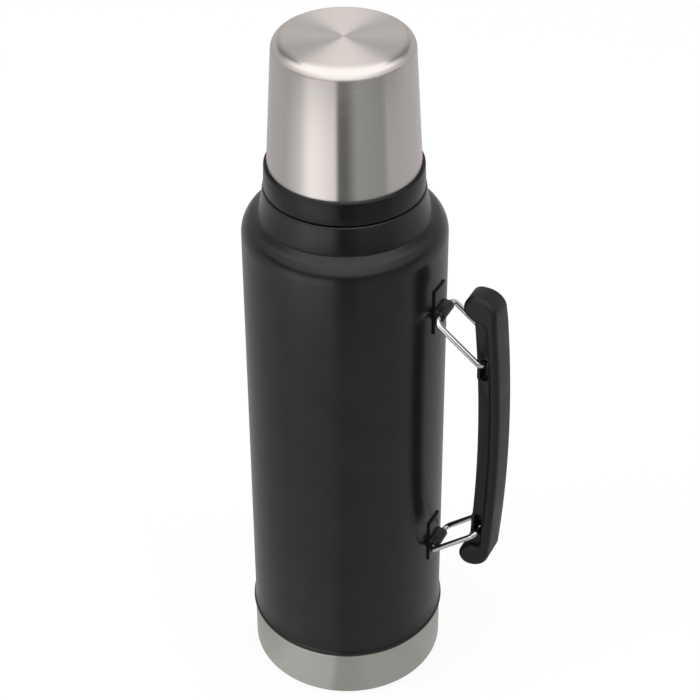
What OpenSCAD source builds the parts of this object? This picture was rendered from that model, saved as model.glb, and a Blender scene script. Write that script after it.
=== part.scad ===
// Vacuum insulated bottle with a screw-on drinking cup and a folding side handle.
// Millimetres, +Z up, origin on the axis at the underside of the base.
// The handle points along +X and the plain front faces -Y.

/* [Body] */
// Outer radius of the coated wall
body_r = 49.5; // [47:0.5:54]
// Thickness of the outer steel wall
shell_t = 0.6; // [0.5:0.1:1]
// Height of the wall's lower lip above the underside
lip_z = 28.4; // [22:0.2:34]
// How far the lower lip flares out of the wall
lip_flare = 1.1; // [0.6:0.1:1.8]
// Height of the flare
flare_h = 11; // [8:0.5:14]
// Height where the wall ends and the shoulder starts
shoulder_z = 262.2; // [256:0.2:275]
// Radius of the shoulder's round
shoulder_r = 13; // [12:0.5:15]
// How far the neck's outside stands out from the mouth's wall
neck_over = 11.8; // [11:0.2:14]
// How far the neck widens towards its foot
neck_flare = 2.6; // [2:0.1:3.2]
// Radius of the hollow round at the foot of the neck
neck_fillet = 1; // [0.8:0.1:2]
// Height of the neck's ledge above the start of the shoulder
neck_rise = 25.4; // [23:0.2:30]
// Height of the steel rim above the ledge
rim_rise = 8.4; // [7.4:0.2:8.8]

/* [Flask] */
// Vacuum space between the flask and the outer wall
vacuum_gap = 8.7; // [6:0.1:10]
// Thickness of the flask's wall
liner_t = 0.5; // [0.4:0.1:0.8]
// Inner radius of the mouth
mouth_r = 27; // [25:0.2:27.6]
// Vacuum space inside the neck
neck_gap = 1.6; // [1:0.1:2]
// Height of the flask's floor above the underside
floor_z = 56; // [52:0.5:70]
// Radius of the flask's floor corner
floor_round = 10; // [6:0.5:14]
// Thickness of the reflecting foil
foil_t = 0.25; // [0.15:0.05:0.5]

/* [Base] */
// Thickness of the base's steel
base_t = 0.6; // [0.5:0.1:1]
// How far the base stands out of the wall above it
base_proud = 0.2; // [0:0.1:0.4]
// Radius of the base's lower edge
base_round = 4; // [2:0.5:6]
// Gap that shows between the lip and the base
lip_gap = 0.5; // [0.3:0.1:0.8]
// Depth of the hollow under the base
base_hollow = 2; // [1:0.2:3]
// Width of the ring that the bottle stands on
foot_w = 9; // [6:0.5:14]
// Height of the base's rim inside the wall
tuck_h = 9; // [6:0.5:10]
// Height of the dished plate's rim
plate_rim = 5; // [3:0.5:6]
// Radius of the evacuation hole
seal_hole_r = 2.2; // [1.5:0.1:3]
// Radius of the getter pill
getter_r = 6; // [4:0.5:8]
// Height of the getter pill
getter_h = 3; // [2:0.2:4]

/* [Collar] */
// Height of the collar above the steel rim
collar_cover = 2.4; // [2:0.1:2.8]
// Thickness of the gasket under the collar's lip
collar_gasket_t = 0.8; // [0.6:0.1:1.2]
// Depth of the thread ridges
ridge_depth = 1; // [0.8:0.1:1.2]
// Rise of the threads in one turn
pitch = 5; // [4.5:0.1:5.5]

/* [Cup] */
// Height of the cup's ring
cup_ring_h = 11.8; // [11.4:0.2:14]
// How far the ring's top lip leans in from its foot
cup_ring_lean = 0.5; // [0.3:0.1:0.8]
// Width of the ring's lip outside the steel
cup_lip_w = 1.2; // [0.9:0.1:1.4]
// Height of the bare steel above the ring
cup_h = 64.8; // [60:0.2:70]
// How far each side of the steel leans in over its height
cup_lean = 3.65; // [2:0.05:4]
// Thickness of the cup's steel
cup_t = 0.5; // [0.4:0.1:0.7]
// Radius of the cup's top edge
cup_round = 5.6; // [4:0.2:8]
// Depth of the steel edge inside the ring
cup_seat = 4.6; // [3:0.2:5]
// Thickness of the cup's moulded inside
cup_liner_t = 1.2; // [0.8:0.1:1.6]
// Space for foam between the steel and the moulded inside
cup_foam_gap = 2.8; // [2:0.1:3]

/* [Stopper] */
// Length of the stopper below its flange
stopper_depth = 39; // [34:0.5:44]
// Wall of the stopper
stopper_t = 2; // [1.5:0.1:2.5]
// Thickness of the stopper's gasket
stopper_gasket_t = 1.2; // [0.8:0.1:1.6]
// Thickness of the stopper's flange
flange_t = 3; // [2:0.2:4]
// Height of the stopper's knob
knob_h = 21; // [16:0.5:24]
// Grip flutes round the knob
flutes = 18; // [10:1:24]
// Width of each pouring groove
pour_w = 8; // [5:0.5:10]

/* [Handle] */
// Height of the upper bail's pivot
upper_pivot_z = 230.2; // [224:0.2:236]
// Height of the lower bail's pivot
lower_pivot_z = 85.9; // [80:0.1:92]
// Distance of the pivots from the wall
pivot_off = 2.8; // [2.6:0.1:3.4]
// Diameter of the bail wire
wire_d = 2.8; // [2.4:0.1:3]
// Length of a bail between its pivot and its wire ends
bail_l = 30.75; // [29:0.25:34]
// Angle of a bail below or above the level
bail_angle = 39; // [36:0.5:42]
// Width of a bail between the middles of its legs
bail_w = 21; // [20.6:0.2:22]
// Bend radius of the wire, at its middle
wire_bend = 3; // [2.6:0.1:3.2]
// How far the handle moves in when it folds
fold_travel = 11.5; // [9:0.1:11.5]
// Space round the wire ends in their slots
slot_play = 0.7; // [0.7:0.1:1]
// Thickness of the grip, inner and outer half together
grip_t = 11.4; // [10.8:0.1:12.2]
// Thickness of the outer half
cover_t = 5.6; // [5:0.1:6]
// Width of the grip
grip_w = 17.5; // [16:0.5:18]
// How far the inner half's sides stand in from the outer half's
inner_step = 2.35; // [2:0.05:3]
// Radius that the grip bows out to
grip_bow = 740; // [600:10:1200]
// Height of the handle above the upper pivot
handle_over = 16; // [14:0.1:18]
// Height of the handle below the lower pivot
handle_under = 3.4; // [2.8:0.1:5]
// Depth of the upper bulb
upper_bulb_d = 17.1; // [16.6:0.1:17.8]
// Depth of the lower bulb
lower_bulb_d = 16; // [15.4:0.1:16.4]
// Radius of a bulb's inner tip
bulb_tip_r = 5.8; // [5:0.1:6]
// Radius of a bulb's outer corner
bulb_corner_r = 9.6; // [8:0.2:10]
// Thickness of a bracket's plate
bracket_t = 1; // [0.8:0.1:1.4]
// Width of a bracket
bracket_w = 12.4; // [11.6:0.2:14]
// Height of a bracket
bracket_h = 25; // [22:0.5:28]
// How far the barrel lies above a bracket's middle
barrel_up = -1.3; // [-2:0.1:0]
// Length of a bracket's barrel
barrel_l = 12.2; // [10:0.2:12.4]
// Space between the handle's screws
screw_pitch = 30; // [24:1:32]

/* [Hidden] */
$fn = 96;

// Clearances
seat = 0.05;        // parts of one body that are fixed together
run = 0.08;         // wire in its barrel
clear = 0.3;        // parts that turn or lift past each other
cut = 1;            // overshoot of a cut
slack = 0.2;        // room for a shank in its hole or an edge in its groove

// Heights of the vessel
ledge_z = shoulder_z + neck_rise;
rim_z = ledge_z + rim_rise;
collar_top = rim_z + liner_t + collar_cover;

// Radii of the neck: its outside, and from the mouth out to the spigot
neck_r = mouth_r + neck_over;
liner_neck_r = mouth_r + liner_t;
spigot_r = liner_neck_r + neck_gap + shell_t;
liner_r = body_r - shell_t - vacuum_gap;

// Flask below the mouth: its wall ends at shoulder_foot and its straight neck is neck_l long under the ledge
shoulder_drop = 8;
shoulder_foot = shoulder_z - vacuum_gap - shoulder_drop;
neck_l = 12;

// Base and vacuum plate
base_r = body_r + base_proud;
base_top = lip_z - lip_gap;
tuck_r = body_r - shell_t - seat;
tuck_top = base_top + tuck_h;
plate_gap = 2;
plate_z = tuck_top + plate_gap;
plate_dish = 3;
plate_top = plate_z + plate_dish + shell_t;

// Cup, from the ring's foot upwards
cup_gap = 0.5;
cup_inset = 0.4;
cup_z = ledge_z + cup_gap;
cup_ring_r = neck_r - cup_inset;
cup_ring_top = cup_z + cup_ring_h;
cup_r = cup_ring_r - cup_ring_lean - cup_lip_w - slack;
cup_top = cup_ring_top + cup_h;
cup_top_r = cup_r - cup_lean;
groove_r = cup_r - cup_t - slack;

// Half height of a thread ridge at its foot and at its crest, and its root inside the wall
ridge_foot = 1.15;
ridge_flat = 0.5;
ridge_root = 0.3;

// Threads of the cup and of the collar under it
ring_wall = 0.7;
ring_root_r = groove_r - ring_wall;
ring_crest_r = ring_root_r - ridge_depth;
collar_crest_r = ring_crest_r - clear;
collar_root_r = collar_crest_r - ridge_depth;
thread_up = 2;
cup_thread_z = cup_z + thread_up;
cup_turns = 1;

// Threads of the mouth and of the stopper
mouth_crest_r = mouth_r - ridge_depth;
stopper_crest_r = mouth_crest_r - clear;
stopper_r = stopper_crest_r - ridge_depth - slack;
stopper_turns = 1.75;
thread_down = 15;
stopper_thread_z = rim_z - thread_down;

// Stopper, from its gasket upwards
seal_gap = 0.1;
stopper_gasket_z = collar_top + seal_gap;
flange_z = stopper_gasket_z + stopper_gasket_t;
flange_over = 2.2;
flange_r = mouth_r + flange_over;
flange_top = flange_z + flange_t;
stopper_foot = flange_z - stopper_depth;
knob_under = 1.5;
knob_r = mouth_r - knob_under;
knob_t = 2.4;
plug_h = 2;

// Moulded inside of the cup
cup_liner_r = cup_r - cup_t - cup_foam_gap;
cup_liner_top = cup_top - cup_t - cup_foam_gap;
cup_liner_top_r = cup_top_r - cup_t - cup_foam_gap;
cup_liner_edge = 4;

// Bails: pivots, wire ends and the sliding of the ends in their slots
wire_r = wire_d / 2;
pivot_x = body_r + pivot_off;
end_out = bail_l * cos(bail_angle);
end_rise = bail_l * sin(bail_angle);
end_x = pivot_x + end_out;
upper_end_z = upper_pivot_z - end_rise;
lower_end_z = lower_pivot_z + end_rise;
folded_rise = sqrt(bail_l * bail_l - (end_out - fold_travel) * (end_out - fold_travel));
slide = folded_rise - end_rise;
slot_r = wire_r + slot_play;
inner_w = grip_w - 2 * inner_step;
hook_in = 3.2;

// Handle: the bow is centred between the wire ends
bow_z = (upper_end_z + lower_end_z) / 2;
part_bow = grip_bow - cover_t;
slot_sag = part_bow - sqrt(part_bow * part_bow - (upper_end_z - bow_z) * (upper_end_z - bow_z));
grip_x = end_x + slot_r + cover_t + slot_sag;
handle_top = upper_pivot_z + handle_over;
handle_foot = lower_pivot_z - handle_under;
bulb_flank = 1.4;
recess_top = handle_top - 2 * bulb_tip_r - bulb_flank;
recess_foot = handle_foot + 2 * bulb_tip_r + bulb_flank;
boss_wall = 1.5;

// Screws of the handle
screw_head_r = 2.6;
screw_head_h = 1.6;
screw_r = 1.25;
screw_bite = 3.6;
screw_post_r = 3.2;
screw_zs = [for (i = [-1:1]) bow_z + i * screw_pitch];

// Barrel of a bracket
barrel_t = 1.2;
barrel_r = wire_r + run + barrel_t;

// Points along an arc in a flat outline
function arc(c, r, from, to, steps = 8) =
    [for (i = [0:steps]) let (a = from + (to - from) * i / steps) c + r * [cos(a), sin(a)]];

function backwards(points) = [for (i = [len(points) - 1:-1:0]) points[i]];

// Distance of the handle's bowed faces from the axis, depth d below the outer face
function bow_x(z, d) = grip_x - grip_bow + sqrt((grip_bow - d) * (grip_bow - d) - (z - bow_z) * (z - bow_z));

function bow_line(z0, z1, d, steps = 16) =
    [for (i = [0:steps]) let (z = z0 + (z1 - z0) * i / steps) [bow_x(z, d), z]];

// Radius of the cup's steel at height z
function cup_wall(z) = cup_r - cup_lean * (z - cup_ring_top) / cup_h;

// Outline of the wall, from the lip up to the ledge, moved in by depth d
function wall_line(d) =
    let (
        round_c = [body_r - shoulder_r, shoulder_z],
        fillet_x = neck_r + neck_flare + neck_fillet,
        reach = shoulder_r + neck_fillet,
        across = fillet_x - round_c[0],
        fillet_c = [fillet_x, shoulder_z + sqrt(reach * reach - across * across)],
        meet = acos(across / reach),
        lean = atan(neck_flare / (ledge_z - fillet_c[1]))
    )
    concat(
        [for (i = [0:8]) let (t = i / 8) [body_r - d + lip_flare * (1 - t) * (1 - t), lip_z + flare_h * t]],
        arc(round_c, shoulder_r - d, 0, meet, 12),
        arc(fillet_c, neck_fillet + d, 180 + meet, 180 + lean, 6)
    );

// A ridge that winds up round the axis; it faces out where crest is larger than root
module ridge(root, crest, z0, turns) {
    steps = ceil(turns * 40);
    bite = crest > root ? -ridge_root : ridge_root;
    inner = root + bite;
    outline = [[inner, -ridge_foot], [crest, -ridge_flat], [crest, ridge_flat], [inner, ridge_foot]];
    points = [for (i = [0:steps], p = outline)
        let (a = 360 * turns * i / steps)
        [p[0] * cos(a), p[0] * sin(a), z0 + p[1] + pitch * turns * i / steps]];
    sides = [for (i = [0:steps - 1], k = [0:3])
        let (a = 4 * i + k, b = 4 * i + (k + 1) % 4)
        each [[a, b, b + 4], [a, b + 4, a + 4]]];
    last = 4 * steps;
    ends = [[0, 2, 1], [0, 3, 2], [last, last + 1, last + 2], [last, last + 2, last + 3]];
    faces = concat(sides, ends);
    polyhedron(points, crest > root ? faces : [for (f = faces) [f[0], f[2], f[1]]], convexity = 8);
}

// A slot with round ends across the handle, in the handle's flat outline
module slot_outline(r, z0, z1) {
    translate([end_x - r, z0])
        square([2 * r, z1 - z0]);
    for (z = [z0, z1])
        translate([end_x, z])
            circle(r);
}

// A handle outline made solid across the handle
module across(width) {
    rotate([90, 0, 0])
        linear_extrude(width, center = true)
            children();
}

module outer_shell() {
    color([0.13, 0.13, 0.135])
        rotate_extrude()
            polygon(concat(
                wall_line(0),
                [[neck_r, ledge_z], [spigot_r, ledge_z], [spigot_r, rim_z], [spigot_r - shell_t, rim_z],
                 [spigot_r - shell_t, ledge_z - shell_t], [neck_r - shell_t, ledge_z - shell_t]],
                backwards(wall_line(shell_t))
            ));
}

module base_cup() {
    foot_in = base_r - base_round - foot_w;
    floor_r = foot_in - base_hollow;
    color([0.62, 0.61, 0.59])
        rotate_extrude()
            polygon(concat(
                [[0, base_hollow], [floor_r, base_hollow], [foot_in, 0]],
                arc([base_r - base_round, base_round], base_round, -90, 0),
                [[base_r, base_top], [tuck_r, base_top], [tuck_r, tuck_top], [tuck_r - base_t, tuck_top],
                 [tuck_r - base_t, base_top - base_t], [base_r - base_t, base_top - base_t]],
                arc([base_r - base_round, base_round], base_round - base_t, 0, -90),
                [[foot_in, base_t], [floor_r, base_hollow + base_t], [0, base_hollow + base_t]]
            ));
}

module shell_base() {
    plate_r = body_r - shell_t - seat;
    ledge_w = 4;
    dish_r = plate_r - 3 * ledge_w;
    color([0.6, 0.6, 0.6])
        difference() {
            rotate_extrude()
                polygon([
                    [0, plate_z + plate_dish], [dish_r, plate_z + plate_dish], [plate_r - ledge_w, plate_z],
                    [plate_r, plate_z], [plate_r, plate_z + plate_rim],
                    [plate_r - shell_t, plate_z + plate_rim], [plate_r - shell_t, plate_z + shell_t],
                    [plate_r - ledge_w, plate_z + shell_t],
                    [dish_r, plate_top], [0, plate_top]
                ]);
            translate([0, 0, plate_z + plate_dish - cut])
                cylinder(r = seal_hole_r, h = shell_t + 2 * cut);
        }
}

module seal_bead() {
    head_h = 1.2;
    head_over = 1.5;
    color([0.45, 0.5, 0.45])
        translate([0, 0, plate_z + plate_dish]) {
            translate([0, 0, -head_h]) {
                cylinder(r = seal_hole_r + head_over, h = head_h - seat);
                cylinder(r = seal_hole_r - seat, h = head_h + shell_t);
            }
        }
}

module getter() {
    color([0.35, 0.33, 0.3])
        translate([body_r / 2, 0, plate_top])
            cylinder(r = getter_r, h = getter_h);
}

module inner_liner() {
    slope_top = ledge_z - neck_l;
    color([0.7, 0.69, 0.67]) {
        rotate_extrude()
            polygon([
                [liner_r, floor_z + floor_round], [liner_r, shoulder_foot], [liner_neck_r, slope_top],
                [liner_neck_r, rim_z], [spigot_r, rim_z], [spigot_r, rim_z + liner_t],
                [mouth_r, rim_z + liner_t], [mouth_r, slope_top],
                [liner_r - liner_t, shoulder_foot - liner_t],
                [liner_r - liner_t, floor_z + floor_round]
            ]);
        ridge(mouth_r, mouth_crest_r, stopper_thread_z, stopper_turns);
    }
}

module liner_base() {
    corner = [liner_r - floor_round, floor_z + floor_round];
    color([0.66, 0.65, 0.63])
        rotate_extrude()
            polygon(concat(
                [[0, floor_z]],
                arc(corner, floor_round, -90, 0),
                arc(corner, floor_round - liner_t, 0, -90),
                [[0, floor_z + liner_t]]
            ));
}

module liner_foil() {
    foil_r = liner_r + seat;
    margin = 4;
    foil_z = floor_z + floor_round + margin;
    color([0.78, 0.5, 0.32])
        translate([0, 0, foil_z])
            difference() {
                cylinder(r = foil_r + foil_t, h = shoulder_foot - margin - foil_z);
                translate([0, 0, -cut])
                    cylinder(r = foil_r, h = shoulder_z);
            }
}

module neck_collar() {
    bore_r = spigot_r + seat;
    lip_foot = rim_z + liner_t + collar_gasket_t;
    lip_r = mouth_r + slack;
    bevel = 0.8;
    color([0.1, 0.1, 0.1]) {
        rotate_extrude()
            polygon([
                [bore_r, ledge_z], [collar_root_r, ledge_z], [collar_root_r, collar_top - bevel],
                [collar_root_r - bevel, collar_top], [lip_r, collar_top], [lip_r, lip_foot],
                [bore_r, lip_foot]
            ]);
        ridge(collar_root_r, collar_crest_r, cup_thread_z, cup_turns);
    }
}

module collar_gasket() {
    color([0.75, 0.74, 0.7])
        translate([0, 0, rim_z + liner_t])
            difference() {
                cylinder(r = spigot_r, h = collar_gasket_t);
                translate([0, 0, -cut])
                    cylinder(r = mouth_r + 2 * slack, h = collar_gasket_t + 2 * cut);
            }
}

// A plate bent to the wall, with a barrel across it for the bail's wire
module bracket(pivot_z) {
    corner = 4;
    plate_z0 = pivot_z - barrel_up - bracket_h / 2;
    back_r = body_r + seat;
    difference() {
        union() {
            intersection() {
                difference() {
                    translate([0, 0, plate_z0])
                        cylinder(r = back_r + bracket_t, h = bracket_h);
                    translate([0, 0, plate_z0 - cut])
                        cylinder(r = back_r, h = bracket_h + 2 * cut);
                }
                translate([0, 0, plate_z0 + bracket_h / 2])
                    rotate([90, 0, 90])
                        linear_extrude(2 * body_r) {
                            square([bracket_w, bracket_h - 2 * corner], center = true);
                            square([bracket_w - 2 * corner, bracket_h], center = true);
                            for (y = [-1, 1], z = [-1, 1])
                                translate([y * (bracket_w / 2 - corner), z * (bracket_h / 2 - corner)])
                                    circle(corner);
                        }
            }
            difference() {
                union() {
                    translate([pivot_x, 0, pivot_z])
                        rotate([90, 0, 0])
                            cylinder(r = barrel_r, h = barrel_l, center = true);
                    translate([body_r / 2, -barrel_l / 2, pivot_z - barrel_r])
                        cube([pivot_x - body_r / 2, barrel_l, 2 * barrel_r]);
                }
                translate([0, 0, pivot_z - bracket_h])
                    cylinder(r = back_r, h = 2 * bracket_h);
            }
        }
        translate([pivot_x, 0, pivot_z])
            rotate([90, 0, 0])
                cylinder(r = wire_r + run, h = barrel_l + 2 * cut, center = true);
    }
}

module upper_bracket() {
    color([0.15, 0.15, 0.155])
        bracket(upper_pivot_z);
}

module lower_bracket() {
    color([0.15, 0.15, 0.155])
        bracket(lower_pivot_z);
}

// One link of bent wire: a bar through the barrel, two legs and two ends turned in
module bail() {
    side = bail_w / 2 - wire_bend;
    rotate([90, 0, 0])
        cylinder(r = wire_r, h = 2 * side, center = true);
    for (y = [-1, 1]) {
        translate([wire_bend, y * bail_w / 2, 0])
            rotate([0, 90, 0])
                cylinder(r = wire_r, h = bail_l - 2 * wire_bend);
        translate([wire_bend, y * side, 0])
            rotate([0, 0, y > 0 ? 90 : 180])
                bend();
        translate([bail_l - wire_bend, y * side, 0])
            rotate([0, 0, y > 0 ? 0 : 270])
                bend();
        translate([bail_l, y * (side + hook_in) / 2, 0])
            rotate([90, 0, 0])
                cylinder(r = wire_r, h = side - hook_in, center = true);
    }
}

// A quarter turn of wire
module bend() {
    rotate_extrude(angle = 90)
        translate([wire_bend, 0])
            circle(wire_r);
}

module upper_bail() {
    color([0.8, 0.8, 0.81])
        translate([pivot_x, 0, upper_pivot_z])
            rotate([0, bail_angle, 0])
                bail();
}

module lower_bail() {
    color([0.8, 0.8, 0.81])
        translate([pivot_x, 0, lower_pivot_z])
            rotate([0, -bail_angle, 0])
                bail();
}

// Outer half of the handle: a bowed bar with a bulb at each end
module handle_grip() {
    top_x = bow_x(handle_top - bulb_corner_r, 0);
    foot_x = bow_x(handle_foot + bulb_corner_r, 0);
    upper_tip = [top_x - upper_bulb_d + bulb_tip_r, handle_top - bulb_tip_r];
    lower_tip = [foot_x - lower_bulb_d + bulb_tip_r, handle_foot + bulb_tip_r];
    pocket_w = 11;
    pocket_t = 2;
    pocket_end = screw_pitch + 2.5 * screw_post_r;
    color([0.12, 0.12, 0.12])
        difference() {
            across(grip_w)
                polygon(concat(
                    [[bow_x(recess_top, cover_t), recess_top], [bow_x(recess_top, grip_t), recess_top]],
                    arc(upper_tip, bulb_tip_r, 230, 90),
                    arc([top_x - bulb_corner_r, handle_top - bulb_corner_r], bulb_corner_r, 90, 0),
                    bow_line(handle_top - bulb_corner_r, handle_foot + bulb_corner_r, 0),
                    arc([foot_x - bulb_corner_r, handle_foot + bulb_corner_r], bulb_corner_r, 0, -90),
                    arc(lower_tip, bulb_tip_r, -90, -230),
                    [[bow_x(recess_foot, grip_t), recess_foot]],
                    bow_line(recess_foot, recess_top, cover_t)
                ));
            difference() {
                across(pocket_w)
                    polygon(concat(
                        bow_line(bow_z - pocket_end, bow_z + pocket_end, pocket_t),
                        bow_line(bow_z + pocket_end, bow_z - pocket_end, cover_t + cut)
                    ));
                for (z = screw_zs)
                    translate([end_x, 0, z])
                        rotate([0, 90, 0])
                            cylinder(r = screw_post_r, h = grip_t);
            }
            for (z = screw_zs)
                translate([bow_x(z, cover_t) - cut, 0, z])
                    rotate([0, 90, 0])
                        cylinder(r = screw_r + seat, h = screw_bite + cut);
        }
}

// Inner half of the handle, with the slots that the wire ends slide in
module handle_inner() {
    color([0.14, 0.14, 0.14])
        difference() {
            across(inner_w) {
                polygon(concat(
                    bow_line(recess_foot + seat, recess_top - seat, cover_t + seat),
                    bow_line(recess_top - seat, recess_foot + seat, grip_t)
                ));
                intersection() {
                    union() {
                        slot_outline(slot_r + boss_wall, upper_end_z - slide, upper_end_z);
                        slot_outline(slot_r + boss_wall, lower_end_z, lower_end_z + slide);
                    }
                    polygon(concat(
                        bow_line(recess_foot + seat, recess_top - seat, cover_t + seat),
                        bow_line(recess_top - seat, recess_foot + seat, 2 * grip_t)
                    ));
                }
            }
            across(inner_w + 2 * cut) {
                slot_outline(slot_r, upper_end_z - slide, upper_end_z);
                slot_outline(slot_r, lower_end_z, lower_end_z + slide);
            }
            for (z = screw_zs)
                translate([bow_x(z, grip_t), 0, z])
                    rotate([0, 90, 0]) {
                        translate([0, 0, -cut])
                            cylinder(r = screw_r + slack, h = grip_t);
                        translate([0, 0, -cut])
                            cylinder(r = screw_head_r + slack, h = screw_head_h + cut);
                    }
        }
}

module handle_screws() {
    cross_l = 3.2;
    cross_w = 0.7;
    shank_l = grip_t - cover_t + screw_bite - 2 * slack;
    color([0.5, 0.5, 0.52])
        for (z = screw_zs)
            translate([bow_x(z, grip_t), 0, z])
                rotate([0, 90, 0])
                    difference() {
                        union() {
                            cylinder(r = screw_head_r, h = screw_head_h);
                            cylinder(r = screw_r, h = shank_l);
                        }
                        for (a = [0, 90])
                            rotate([0, 0, a])
                                translate([-cross_l / 2, -cross_w / 2, -cut])
                                    cube([cross_l, cross_w, cut + screw_head_h / 2]);
                    }
}

// Hollow screw plug with two grooves that the drink runs out through
module stopper_body() {
    groove_d = 1.4;
    groove_rise = 6;
    groove_top = 3;
    groove_z = stopper_foot + groove_rise;
    groove_h = flange_z - groove_z - groove_top;
    bevel = 2;
    color([0.14, 0.14, 0.145])
        difference() {
            union() {
                rotate_extrude()
                    polygon([
                        [0, stopper_foot], [stopper_r - bevel, stopper_foot],
                        [stopper_r, stopper_foot + bevel], [stopper_r, flange_z],
                        [flange_r, flange_z], [flange_r, flange_top],
                        [stopper_r - stopper_t, flange_top],
                        [stopper_r - stopper_t, stopper_foot + stopper_t], [0, stopper_foot + stopper_t]
                    ]);
                ridge(stopper_r, stopper_crest_r, stopper_thread_z + pitch / 2, stopper_turns);
            }
            for (y = [-1, 1])
                translate([-pour_w / 2, y > 0 ? stopper_r - groove_d : -stopper_crest_r - cut, groove_z])
                    cube([pour_w, stopper_crest_r + cut - stopper_r + groove_d, groove_h]);
        }
}

module stopper_knob() {
    knob_top = flange_top + knob_h;
    plug_r = stopper_r - stopper_t - seat;
    flute_r = 1.8;
    edge = 3;
    inside_r = knob_r - knob_t - flute_r / 2;
    rim_h = 2;
    color([0.13, 0.13, 0.13])
        difference() {
            rotate_extrude()
                polygon(concat(
                    [[plug_r - rim_h, flange_top - plug_h], [plug_r, flange_top - plug_h],
                     [plug_r, flange_top], [knob_r, flange_top]],
                    arc([knob_r - edge, knob_top - edge], edge, 0, 90),
                    [[0, knob_top], [0, knob_top - knob_t], [inside_r - edge, knob_top - knob_t],
                     [inside_r, knob_top - knob_t - edge], [inside_r, flange_top + rim_h],
                     [plug_r - rim_h, flange_top + rim_h]]
                ));
            for (i = [0:flutes - 1])
                rotate([0, 0, 360 * i / flutes])
                    translate([knob_r + flute_r / 2, 0, flange_top + edge])
                        cylinder(r = flute_r, h = knob_h);
        }
}

module stopper_foam() {
    color([0.85, 0.84, 0.8])
        translate([0, 0, stopper_foot + stopper_t + clear])
            cylinder(r = stopper_r - stopper_t - clear,
                     h = flange_top - plug_h - stopper_foot - stopper_t - 2 * clear);
}

module stopper_gasket() {
    color([0.7, 0.69, 0.66])
        translate([0, 0, stopper_gasket_z])
            difference() {
                cylinder(r = flange_r - slack, h = stopper_gasket_t);
                translate([0, 0, -cut])
                    cylinder(r = stopper_r + seat, h = stopper_gasket_t + 2 * cut);
            }
}

module cup_shell() {
    // Angle of the leaning side, so that the round edge meets it squarely
    lean_a = atan(cup_lean / cup_h);
    edge_c = [cup_wall(cup_top - cup_round) - cup_round / cos(lean_a), cup_top - cup_round];
    color([0.66, 0.65, 0.63])
        rotate_extrude()
            polygon(concat(
                [[cup_r, cup_ring_top - cup_seat], [cup_r, cup_ring_top]],
                arc(edge_c, cup_round, lean_a, 90, 12),
                [[0, cup_top], [0, cup_top - cup_t]],
                arc(edge_c, cup_round - cup_t, 90, lean_a, 12),
                [[cup_r - cup_t, cup_ring_top], [cup_r - cup_t, cup_ring_top - cup_seat]]
            ));
}

module cup_ring() {
    ring_top_r = cup_ring_r - cup_ring_lean;
    groove_foot = cup_ring_top - cup_seat - seat;
    bevel = 0.5;
    color([0.11, 0.11, 0.115]) {
        rotate_extrude()
            polygon([
                [ring_root_r, cup_z], [cup_ring_r - bevel, cup_z], [cup_ring_r, cup_z + bevel],
                [ring_top_r, cup_ring_top], [cup_r + slack, cup_ring_top], [cup_r + slack, groove_foot],
                [groove_r, groove_foot], [groove_r, cup_ring_top], [ring_root_r, cup_ring_top]
            ]);
        ridge(ring_root_r, ring_crest_r, cup_thread_z + pitch / 2, cup_turns);
    }
}

module cup_liner() {
    rim_z0 = cup_ring_top + seat;
    rim_r = groove_r - seat;
    inside = cup_liner_r - cup_liner_t;
    color([0.1, 0.1, 0.1])
        rotate_extrude()
            polygon([
                [inside, rim_z0], [rim_r, rim_z0], [rim_r, rim_z0 + cup_liner_t],
                [cup_liner_r, rim_z0 + cup_liner_t], [cup_liner_top_r, cup_liner_top - cup_liner_edge],
                [cup_liner_top_r - cup_liner_edge, cup_liner_top], [0, cup_liner_top],
                [0, cup_liner_top - cup_liner_t],
                [cup_liner_top_r - cup_liner_edge, cup_liner_top - cup_liner_t],
                [cup_liner_top_r - cup_liner_t, cup_liner_top - cup_liner_edge - cup_liner_t]
            ]);
}

module cup_insulation() {
    foot = cup_ring_top + seat + cup_liner_t + clear;
    steel = cup_t + clear;
    edge = cup_round + 1;
    color([0.88, 0.87, 0.83])
        rotate_extrude()
            polygon([
                [cup_liner_r + clear, foot], [cup_wall(foot) - steel, foot],
                [cup_wall(cup_top - edge) - steel, cup_top - edge],
                [cup_top_r - edge, cup_top - steel], [0, cup_top - steel], [0, cup_liner_top + clear],
                [cup_liner_top_r - cup_liner_edge, cup_liner_top + clear],
                [cup_liner_top_r + clear, cup_liner_top - cup_liner_edge + clear]
            ]);
}

outer_shell();
base_cup();
shell_base();
seal_bead();
getter();
inner_liner();
liner_base();
liner_foil();
neck_collar();
collar_gasket();
upper_bracket();
lower_bracket();
upper_bail();
lower_bail();
handle_grip();
handle_inner();
handle_screws();
stopper_body();
stopper_knob();
stopper_foam();
stopper_gasket();
cup_shell();
cup_ring();
cup_liner();
cup_insulation();
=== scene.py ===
"""Looks of a vacuum insulated bottle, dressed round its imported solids.

Lengths of the pieces are in millimetres, in the frame of the solids: +Z up the axis, +X to the
handle. Lengths in materials, the camera and the studio are in metres.
"""

import logging
import math
from abc import ABC, abstractmethod
from collections.abc import Callable, Iterable
from dataclasses import dataclass
from enum import Enum
from typing import Any

import bmesh
import bpy
from mathutils import Matrix, Vector

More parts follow.
